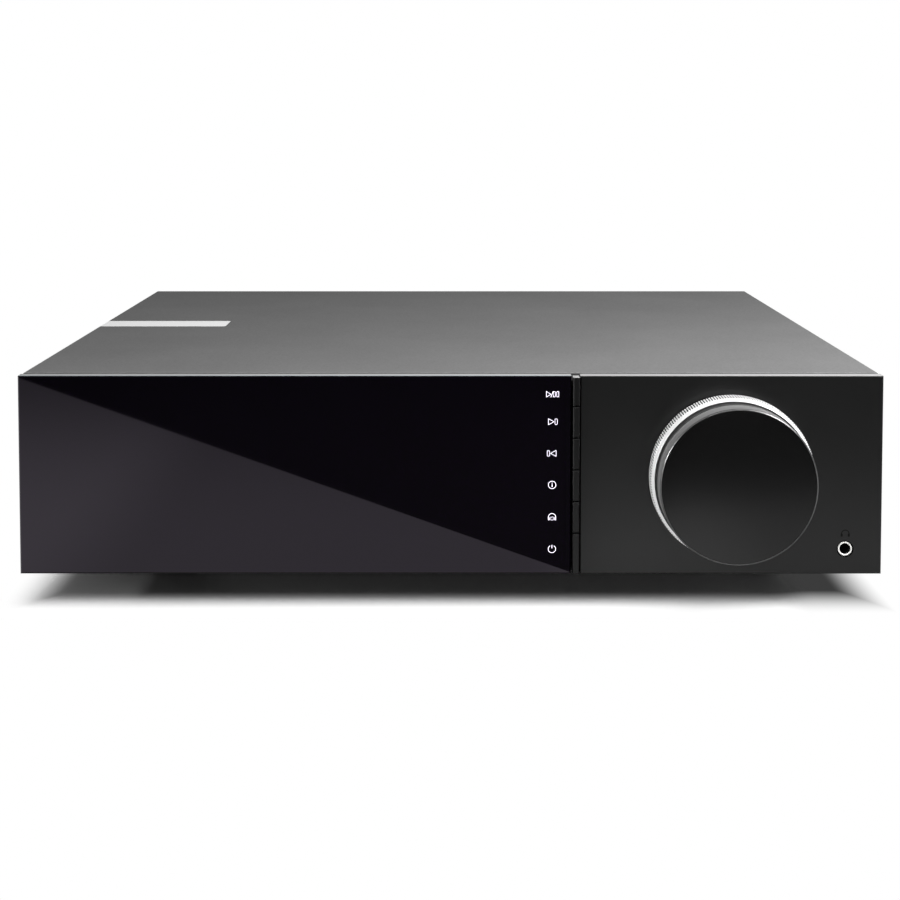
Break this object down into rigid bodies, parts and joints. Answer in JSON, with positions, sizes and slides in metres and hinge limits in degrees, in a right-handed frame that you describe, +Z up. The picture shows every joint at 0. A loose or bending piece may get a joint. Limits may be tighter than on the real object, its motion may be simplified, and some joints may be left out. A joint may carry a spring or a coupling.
{
  "type": "streaming amplifier",
  "caption": "Low streaming amplifier with a black glass display, a column of narrow keys, a knurled turning dial, a grey metal cover and sockets at the back.",
  "frame": {"origin": "on the ground under the middle of the part's box", "axes": "+X to the right seen from the front, +Y to the back, +Z up"},
  "size_m": [0.317, 0.352, 0.089],
  "materials": {
    "glass_black": "polished, printed black behind",
    "display_black": "smooth",
    "frame_black": "fine moulded texture",
    "panel_black": "bead blasted, black anodised",
    "key_black": "satin black",
    "guide_black": "moulded",
    "board_green": "solder resist",
    "switch_steel": "pressed",
    "dial_silver": "turned and knurled",
    "shaft_steel": "ground",
    "dial_face_black": "satin black anodised",
    "encoder_metal": "plated",
    "jack_nickel": "nickel plated",
    "jack_black": "moulded",
    "base_black": "black powder coat",
    "pillar_steel": "plated",
    "cover_grey": "satin grey with a fine grain",
    "strip_silver": "brushed, bare",
    "side_black": "satin black, bevelled",
    "magnet_nickel": "plated",
    "rear_black": "black powder coat",
    "foot_black": "moulded",
    "pad_rubber": "matt",
    "inlet_black": "moulded",
    "pin_metal": "nickel plated",
    "rocker_black": "moulded",
    "post_black": "moulded",
    "post_gold": "gold plated",
    "cap_red": "moulded red",
    "cap_black": "moulded black",
    "phono_gold": "gold plated",
    "block_black": "moulded",
    "socket_steel": "plated",
    "optical_black": "moulded",
    "flap_grey": "moulded",
    "sink_black": "extruded, black anodised"
  },
  "bodies": {
    "case": {"aerial_sockets": "post_gold", "amplifier_board": "board_green", "badge_strip": "strip_silver", "base_plate": "base_black", "board_pillars": "pillar_steel", "control_panel": "panel_black", "display_glass": "glass_black", "display_panel": "display_black", "encoder_body": "encoder_metal", "feet": "foot_black", "foot_pads": "pad_rubber", "front_frame": "frame_black", "hdmi_socket": "socket_steel", "headphone_sleeve": "jack_nickel", "headphone_socket": "jack_black", "heatsink": "sink_black", "inlet_pins": "pin_metal", "key_board": "board_green", "key_guide": "guide_black", "key_switches": "switch_steel", "main_board": "board_green", "mains_inlet": "inlet_black", "network_socket": "socket_steel", "optical_socket": "optical_black", "phono_block": "block_black", "phono_sockets": "phono_gold", "post_studs": "post_gold", "power_supply": "board_green", "rear_panel": "rear_black", "rocker_housing": "inlet_black", "side_rails": "base_black", "streaming_module": "board_green", "terminal_plate": "post_black", "top_cover": "cover_grey", "usb_socket": "socket_steel"},
    "volume_dial": {"dial_body": "dial_silver", "dial_face": "dial_face_black", "dial_shaft": "shaft_steel"},
    "selector_ring": {"dial_ring": "dial_silver", "ring_shaft": "shaft_steel"},
    "power_rocker": {"power_rocker": "rocker_black"},
    "optical_flap": {"optical_flap": "flap_grey"},
    "side_left": {"side_panel_left": "side_black", "magnets_left": "magnet_nickel"},
    "side_right": {"side_panel_right": "side_black", "magnets_right": "magnet_nickel"},
    "key_power": {"key_power": "key_black"},
    "key_output": {"key_output": "key_black"},
    "key_info": {"key_info": "key_black"},
    "key_previous": {"key_previous": "key_black"},
    "key_next": {"key_next": "key_black"},
    "key_play_pause": {"key_play_pause": "key_black"},
    "collar_left_positive": {"collar_left_positive": "post_gold"},
    "cap_left_positive": {"cap_left_positive": "cap_red"},
    "collar_left_negative": {"collar_left_negative": "post_gold"},
    "cap_left_negative": {"cap_left_negative": "cap_black"},
    "collar_right_positive": {"collar_right_positive": "post_gold"},
    "cap_right_positive": {"cap_right_positive": "cap_red"},
    "collar_right_negative": {"collar_right_negative": "post_gold"},
    "cap_right_negative": {"cap_right_negative": "cap_black"}
  },
  "joints": [
    {"name": "volume_turn", "type": "hinge", "parent": "case", "child": "volume_dial", "pos_m": [0.1026, -0.154, 0.0523], "axis": [0, 1, 0], "continuous": true},
    {"name": "selector_turn", "type": "hinge", "parent": "case", "child": "selector_ring", "pos_m": [0.1026, -0.154, 0.0523], "axis": [0, 1, 0], "continuous": true},
    {"name": "key_power_press", "type": "slide", "parent": "case", "child": "key_power", "axis": [0, 1, 0], "range_m": [0, 0.0006], "stiffness_N_per_m": 1500, "springref_m": -0.0003},
    {"name": "key_output_press", "type": "slide", "parent": "case", "child": "key_output", "axis": [0, 1, 0], "range_m": [0, 0.0006], "stiffness_N_per_m": 1500, "springref_m": -0.0003},
    {"name": "key_info_press", "type": "slide", "parent": "case", "child": "key_info", "axis": [0, 1, 0], "range_m": [0, 0.0006], "stiffness_N_per_m": 1500, "springref_m": -0.0003},
    {"name": "key_previous_press", "type": "slide", "parent": "case", "child": "key_previous", "axis": [0, 1, 0], "range_m": [0, 0.0006], "stiffness_N_per_m": 1500, "springref_m": -0.0003},
    {"name": "key_next_press", "type": "slide", "parent": "case", "child": "key_next", "axis": [0, 1, 0], "range_m": [0, 0.0006], "stiffness_N_per_m": 1500, "springref_m": -0.0003},
    {"name": "key_play_pause_press", "type": "slide", "parent": "case", "child": "key_play_pause", "axis": [0, 1, 0], "range_m": [0, 0.0006], "stiffness_N_per_m": 1500, "springref_m": -0.0003},
    {"name": "rocker_tilt", "type": "hinge", "parent": "case", "child": "power_rocker", "pos_m": [-0.09081, 0.1585, 0.0458], "axis": [-1, 0, 0], "range_deg": [0, 20]},
    {"name": "flap_swing", "type": "hinge", "parent": "case", "child": "optical_flap", "pos_m": [0.06464, 0.1584, 0.0339], "axis": [-1, 0, 0], "range_deg": [0, 80], "stiffness_Nm_per_rad": 0.0005, "springref_deg": -11.46},
    {"name": "side_left_slide", "type": "slide", "parent": "case", "child": "side_left", "axis": [-1, 0, 0], "range_m": [0, 0.012]},
    {"name": "side_right_slide", "type": "slide", "parent": "case", "child": "side_right", "axis": [1, 0, 0], "range_m": [0, 0.012]},
    {"name": "collar_left_positive_slide", "type": "slide", "parent": "case", "child": "collar_left_positive", "axis": [0, 1, 0], "range_m": [0, 0.0045]},
    {"name": "cap_left_positive_turn", "type": "hinge", "parent": "collar_left_positive", "child": "cap_left_positive", "pos_m": [-0.06213, 0.1645, 0.0518], "axis": [0, 1, 0], "range_deg": [0, 2160]},
    {"name": "collar_left_negative_slide", "type": "slide", "parent": "case", "child": "collar_left_negative", "axis": [0, 1, 0], "range_m": [0, 0.0045]},
    {"name": "cap_left_negative_turn", "type": "hinge", "parent": "collar_left_negative", "child": "cap_left_negative", "pos_m": [-0.04313, 0.1645, 0.0518], "axis": [0, 1, 0], "range_deg": [0, 2160]},
    {"name": "collar_right_positive_slide", "type": "slide", "parent": "case", "child": "collar_right_positive", "axis": [0, 1, 0], "range_m": [0, 0.0045]},
    {"name": "cap_right_positive_turn", "type": "hinge", "parent": "collar_right_positive", "child": "cap_right_positive", "pos_m": [-0.01713, 0.1645, 0.0518], "axis": [0, 1, 0], "range_deg": [0, 2160]},
    {"name": "collar_right_negative_slide", "type": "slide", "parent": "case", "child": "collar_right_negative", "axis": [0, 1, 0], "range_m": [0, 0.0045]},
    {"name": "cap_right_negative_turn", "type": "hinge", "parent": "collar_right_negative", "child": "cap_right_negative", "pos_m": [0.00187, 0.1645, 0.0518], "axis": [0, 1, 0], "range_deg": [0, 2160]}
  ],
  "couplings": [
    {"joint": "cap_left_positive_turn", "follows": "collar_left_positive_slide", "rad_per_m": 8377.5},
    {"joint": "cap_left_negative_turn", "follows": "collar_left_negative_slide", "rad_per_m": 8377.5},
    {"joint": "cap_right_positive_turn", "follows": "collar_right_positive_slide", "rad_per_m": 8377.5},
    {"joint": "cap_right_negative_turn", "follows": "collar_right_negative_slide", "rad_per_m": 8377.5}
  ]
}
